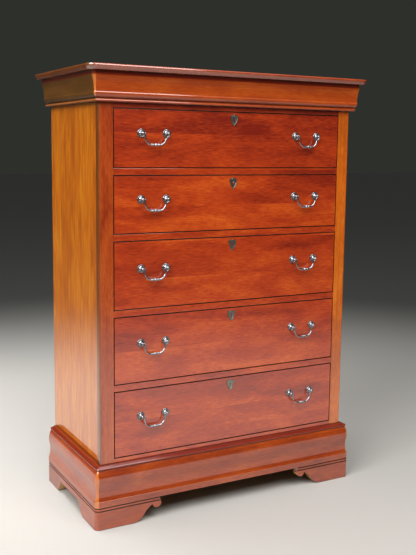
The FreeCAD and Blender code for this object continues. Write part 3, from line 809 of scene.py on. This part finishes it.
def bail_tree():
    """Bends a tapered rod into a bail and sets a knuckle at each end and a bead in the middle."""
    tree = bpy.data.node_groups.new("Bail", "GeometryNodeTree")
    given, names = group_inputs(tree, ("Pivot", "Vector"), ("Arm", "Float"), ("Drop", "Float"),
                                ("Bend", "Float"), ("Wire", "Float"), ("Knuckle", "Object"),
                                ("Bead", "Object"), ("Metal", "Material"))
    arm_left = add_node(tree, "ShaderNodeMath", {0: given["Arm"], 1: -1.0}, operation="MULTIPLY")
    down = add_node(tree, "ShaderNodeMath", {0: given["Drop"], 1: -1.0}, operation="MULTIPLY")
    corners = [
        add_node(tree, "ShaderNodeCombineXYZ", {"X": arm_left.outputs[0]}),
        add_node(tree, "ShaderNodeCombineXYZ", {"X": arm_left.outputs[0], "Z": down.outputs[0]}),
        add_node(tree, "ShaderNodeCombineXYZ", {"X": given["Arm"], "Z": down.outputs[0]}),
        add_node(tree, "ShaderNodeCombineXYZ", {"X": given["Arm"]}),
    ]
    straight = add_node(tree, "GeometryNodeCurvePrimitiveLine", {
        "Start": corners[0].outputs[0], "End": corners[3].outputs[0]})
    four = add_node(tree, "GeometryNodeResampleCurve", {"Curve": straight.outputs[0], "Count": 4})
    route = four.outputs[0]
    index = add_node(tree, "GeometryNodeInputIndex")
    for number in (1, 2):
        here = add_node(tree, "FunctionNodeCompare", {2: index.outputs[0], 3: number}, data_type="INT",
                        operation="EQUAL")
        moved = add_node(tree, "GeometryNodeSetPosition", {
            "Geometry": route, "Selection": here.outputs[0], "Position": corners[number].outputs[0]})
        route = moved.outputs[0]
    bent = add_node(tree, "GeometryNodeFilletCurve", {
        "Curve": route, "Count": 14, "Radius": given["Bend"], "Limit Radius": True}, mode="POLY")
    fine = add_node(tree, "GeometryNodeResampleCurve", {"Curve": bent.outputs[0], "Length": 0.9 * MM},
                    mode="LENGTH")
    along = add_node(tree, "GeometryNodeSplineParameter")
    taper = add_node(tree, "ShaderNodeFloatCurve", {"Value": along.outputs["Factor"]})
    points = taper.mapping.curves[0].points
    # Share of the full thickness along the rod: slim at the knuckles, full beside the bead, waisted at it
    for place, share in ((0.0, 0.66), (0.2, 0.72), (0.36, 0.90), (0.42, 1.0), (0.46, 0.80), (0.54, 0.80),
                         (0.58, 1.0), (0.64, 0.90), (0.8, 0.72), (1.0, 0.66)):
        if place in (0.0, 1.0):
            points[0 if place == 0.0 else -1].location = (place, share)
        else:
            points.new(place, share)
    taper.mapping.update()
    round_section = add_node(tree, "GeometryNodeCurvePrimitiveCircle", {
        "Resolution": 18, "Radius": given["Wire"]})
    rod = add_node(tree, "GeometryNodeCurveToMesh", {
        "Curve": fine.outputs[0], "Profile Curve": round_section.outputs[0], "Scale": taper.outputs[0],
        "Fill Caps": True})
    smooth = add_node(tree, "GeometryNodeSetShadeSmooth", {"Geometry": rod.outputs[0]})
    knuckle = add_node(tree, "GeometryNodeObjectInfo", {"Object": given["Knuckle"]})
    bead = add_node(tree, "GeometryNodeObjectInfo", {"Object": given["Bead"]})
    right_end = add_node(tree, "GeometryNodeTransform", {
        "Geometry": knuckle.outputs["Geometry"], "Translation": corners[3].outputs[0]})
    left_end = add_node(tree, "GeometryNodeTransform", {
        "Geometry": knuckle.outputs["Geometry"], "Translation": corners[0].outputs[0],
        "Rotation": (0, 0, math.pi)})
    low = add_node(tree, "ShaderNodeCombineXYZ", {"Z": down.outputs[0]})
    middle = add_node(tree, "GeometryNodeTransform", {
        "Geometry": bead.outputs["Geometry"], "Translation": low.outputs[0]})
    parts = add_node(tree, "GeometryNodeJoinGeometry")
    for item in (smooth, right_end, left_end, middle):
        tree.links.new(item.outputs[0], parts.inputs[0])
    hung = add_node(tree, "GeometryNodeTransform", {
        "Geometry": parts.outputs[0], "Translation": given["Pivot"]})
    real = add_node(tree, "GeometryNodeRealizeInstances", {"Geometry": hung.outputs[0]})
    metal = add_node(tree, "GeometryNodeSetMaterial", {
        "Geometry": real.outputs[0], "Material": given["Metal"]})
    add_node(tree, "NodeGroupOutput", {"Geometry": metal.outputs[0]})
    return tree, names


def joint_place(name):
    """Where a hinge is, in metres."""
    return Vector(next(j["pos_m"] for j in frame["joints"] if j["name"] == name))


# Operators


class CHEST_OT_case(bpy.types.Operator):
    """Finish the face frame, mouldings, top, feet and side panels"""

    bl_idname = "chest.case"
    bl_label = "Case"

    def execute(self, context):
        wood = context.scene.chest_wood
        # Boards, their finish, their arris as a share of the usual one, and their marks
        finishes = ((TOP_BOARDS, cherry_top, 1.0, ended), (STILE_BOARDS, cherry_stile, 1.6, rounded),
                    (RED_BOARDS, cherry_front, 1.0, shaded_gap_arrises),
                    (AMBER_BOARDS, cherry_amber, 1.6, None), (SIDE_BOARDS, cherry_side, 1.0, None),
                    (CROWN_BOARDS, cherry_crown, 0.3, moulded), (PAINTED_SHADE_BOARDS, cherry_painted_shade, 0.3, lip_highlight),
                    (BASE_BOARDS, cherry_base, 0.8, moulded), (FOOT_BOARDS, cherry_base, 0.3, sawn))
        for boards, finish, share, marks in finishes:
            for node in boards:
                board_piece(node, "carcass", finish(wood), share * wood.arris, marks)
        return {"FINISHED"}


class CHEST_OT_inside(bpy.types.Operator):
    """Finish the bare boards inside the case and its back"""

    bl_idname = "chest.inside"
    bl_label = "Inside"

    def execute(self, context):
        wood = context.scene.chest_wood
        for node in HIDDEN_BOARDS:
            board_piece(node, "carcass", bare_poplar(wood), wood.arris / 2)
        for node in SHEET_BOARDS:
            board_piece(node, "carcass", bare_plywood(wood), 0)
        return {"FINISHED"}


class CHEST_OT_drawers(bpy.types.Operator):
    """Finish the drawer fronts, boxes and bottoms"""

    bl_idname = "chest.drawers"
    bl_label = "Drawers"

    def execute(self, context):
        wood = context.scene.chest_wood
        for number in DRAWERS:
            body = "drawer_%d" % number
            board_piece(body + "_front", body, cherry_front(wood), 0, shaded_gap_arrises)
            board_piece(body + "_box", body, bare_poplar(wood), wood.arris / 2)
            board_piece(body + "_bottom", body, bare_plywood(wood), 0)
        return {"FINISHED"}


class CHEST_OT_posts(bpy.types.Operator):
    """Set the rosettes, posts and screws of the pulls"""

    bl_idname = "chest.posts"
    bl_label = "Pull posts"

    def execute(self, context):
        pulls = context.scene.chest_pulls
        metal = pull_metal(pulls)
        low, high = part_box("drawer_1_front")
        post = post_pattern(pulls)
        screw = screw_pattern(high.y - low.y)
        tree, names = post_tree()
        for number in DRAWERS:
            body = "drawer_%d" % number
            ends = [joint_place("bail_%d_%s_swing" % (number, hand)) for hand in HANDS]
            centre = (ends[0] + ends[1]) / 2 + Vector((0, pulls.standoff, 0))
            obj = grown(body + "_posts_and_screws", tree, names, {
                "Post": post, "Screw": screw, "Spacing": pulls.spacing, "Centre": centre,
                "Between": (ends[1] - ends[0]).x, "Metal": metal})
            finish_piece(obj, body, body + "_pull_posts")
        for pattern in (post, screw):
            bpy.data.objects.remove(pattern)
        return {"FINISHED"}


class CHEST_OT_bails(bpy.types.Operator):
    """Hang the swinging bails"""

    bl_idname = "chest.bails"
    bl_label = "Bails"

    def execute(self, context):
        pulls = context.scene.chest_pulls
        metal = pull_metal(pulls)
        pin_past_middle = 1.0 * MM
        arm = pulls.spacing / 2 - pulls.ball - pulls.knuckle_gap - pulls.knuckle
        knuckle = knuckle_pattern(pulls, pulls.spacing / 2 + pin_past_middle - arm)
        bead = bead_pattern()
        tree, names = bail_tree()
        for number in DRAWERS:
            for hand in HANDS:
                node = "bail_%d_%s" % (number, hand)
                obj = grown(node + "_turned", tree, names, {
                    "Pivot": joint_place(node + "_swing"), "Arm": arm, "Drop": pulls.drop,
                    "Bend": pulls.bend, "Wire": pulls.wire, "Knuckle": knuckle, "Bead": bead,
                    "Metal": metal})
                finish_piece(obj, node, node)
        for pattern in (knuckle, bead):
            bpy.data.objects.remove(pattern)
        return {"FINISHED"}


class CHEST_OT_escutcheons(bpy.types.Operator):
    """Finish the shield escutcheons"""

    bl_idname = "chest.escutcheons"
    bl_label = "Escutcheons"

    def execute(self, context):
        pulls = context.scene.chest_pulls
        metal = shield_metal(pulls)
        arris = 0.7 * MM
        for number in DRAWERS:
            body = "drawer_%d" % number
            board_piece(body + "_escutcheon", body, metal, arris)
        return {"FINISHED"}


class CHEST_OT_stage(bpy.types.Operator):
    """Lay the floor, light the studio and set up the camera"""

    bl_idname = "chest.stage"
    bl_label = "Stage"

    def execute(self, context):
        stage = context.scene.chest_stage
        self.lay_floor(stage)
        self.light_room(context, stage)
        for lamp in LAMPS:
            self.hang_lamp(*lamp)
        self.set_camera(context, stage)
        context.scene.view_settings.view_transform = "Standard"
        return {"FINISHED"}

    def lay_floor(self, stage):
        mesh = bpy.data.meshes.new("floor")
        made = bmesh.new()
        bmesh.ops.create_grid(made, x_segments=1, y_segments=1, size=FLOOR_REACH)
        made.to_mesh(mesh)
        made.free()
        floor = new_object("floor", mesh)
        # Matt studio floor with a painted pool of light: pale round the chest, falling off to dark far away
        material, tree = blank("pale_matt_floor")
        place = add_node(tree, "ShaderNodeTexCoord").outputs["Object"]
        away = add_node(tree, "ShaderNodeVectorMath", {0: place}, operation="LENGTH")
        far = add_node(tree, "ShaderNodeMapRange", {
            "Value": away.outputs["Value"], "From Min": 1.3, "From Max": 3.6},
            interpolation_type="SMOOTHSTEP")
        colour = add_node(tree, "ShaderNodeMix", {
            0: far.outputs[0], 6: linear(stage.floor), 7: linear(stage.floor_far)}, data_type="RGBA")
        shader = add_node(tree, "ShaderNodeBsdfPrincipled", {
            "Base Color": colour.outputs[2], "Roughness": 0.9})
        add_node(tree, "ShaderNodeOutputMaterial", {"Surface": shader.outputs[0]})
        mesh.materials.append(material)

    def light_room(self, context, stage):
        """A room that is grey near the horizon and brighter overhead."""
        world = bpy.data.worlds.new("studio")
        world.use_nodes = True
        tree = world.node_tree
        tree.nodes.clear()
        way = add_node(tree, "ShaderNodeTexCoord").outputs["Generated"]
        up = add_node(tree, "ShaderNodeSeparateXYZ", {0: way}).outputs["Z"]
        light = add_node(tree, "ShaderNodeValToRGB", {"Fac": up}, [
            (0.0, linear(stage.wall)), (0.72, linear(stage.wall)), (1.0, linear(stage.sky))])
        room = add_node(tree, "ShaderNodeBackground", {"Color": light.outputs[0], "Strength": 1.0})
        add_node(tree, "ShaderNodeOutputWorld", {"Surface": room.outputs[0]})
        context.scene.world = world

    def hang_lamp(self, name, place, aim, size, power, spread):
        data = bpy.data.lights.new(name, "AREA")
        data.shape = "SQUARE"
        data.size = size
        data.energy = power
        data.spread = spread
        lamp = bpy.data.objects.new(name, data)
        bpy.context.scene.collection.objects.link(lamp)
        lamp.location = place
        lamp.rotation_euler = (Vector(aim) - Vector(place)).to_track_quat("-Z", "Y").to_euler()

    def set_camera(self, context, stage):
        data = bpy.data.cameras.new("camera")
        data.sensor_fit = "VERTICAL"
        data.sensor_height = SENSOR_HEIGHT
        data.lens = SENSOR_HEIGHT * stage.focal_px / PICTURE_HEIGHT
        data.shift_x = LENS_SHIFT[0]
        data.shift_y = LENS_SHIFT[1]
        data.clip_end = FARTHEST_SEEN
        camera = bpy.data.objects.new("camera", data)
        context.scene.collection.objects.link(camera)
        turn = Matrix.Rotation(-stage.yaw, 4, "Z") @ Matrix.Rotation(math.pi / 2 - stage.pitch, 4, "X")
        turn = turn @ Matrix.Rotation(stage.roll, 4, "Z")
        camera.matrix_world = Matrix.Translation(stage.camera_place) @ turn
        context.scene.camera = camera


class CHEST_PT_finish(bpy.types.Panel):
    """Lists the steps of the finish"""

    bl_idname = "CHEST_PT_finish"
    bl_label = "Chest finish"
    bl_space_type = "VIEW_3D"
    bl_region_type = "UI"
    bl_category = "Chest"

    def draw(self, context):
        for step in STEPS:
            self.layout.operator(step.bl_idname)
        for group in (context.scene.chest_wood, context.scene.chest_pulls, context.scene.chest_stage):
            for name in group.__annotations__:
                self.layout.prop(group, name)


STEPS = (CHEST_OT_case, CHEST_OT_inside, CHEST_OT_drawers, CHEST_OT_posts, CHEST_OT_bails,
         CHEST_OT_escutcheons, CHEST_OT_stage)
GROUPS = {"chest_wood": ChestWood, "chest_pulls": ChestPulls, "chest_stage": ChestStage}


def register():
    for cls in (*GROUPS.values(), *STEPS, CHEST_PT_finish):
        bpy.utils.register_class(cls)
    for name, cls in GROUPS.items():
        setattr(bpy.types.Scene, name, bpy.props.PointerProperty(type=cls))


def unregister():
    for name in GROUPS:
        delattr(bpy.types.Scene, name)
    for cls in reversed((*GROUPS.values(), *STEPS, CHEST_PT_finish)):
        bpy.utils.unregister_class(cls)


def main():
    """Runs every step in order."""
    register()
    bpy.ops.chest.case()
    bpy.ops.chest.inside()
    bpy.ops.chest.drawers()
    bpy.ops.chest.posts()
    bpy.ops.chest.bails()
    bpy.ops.chest.escutcheons()
    bpy.ops.chest.stage()


if __name__ == "__main__":
    main()
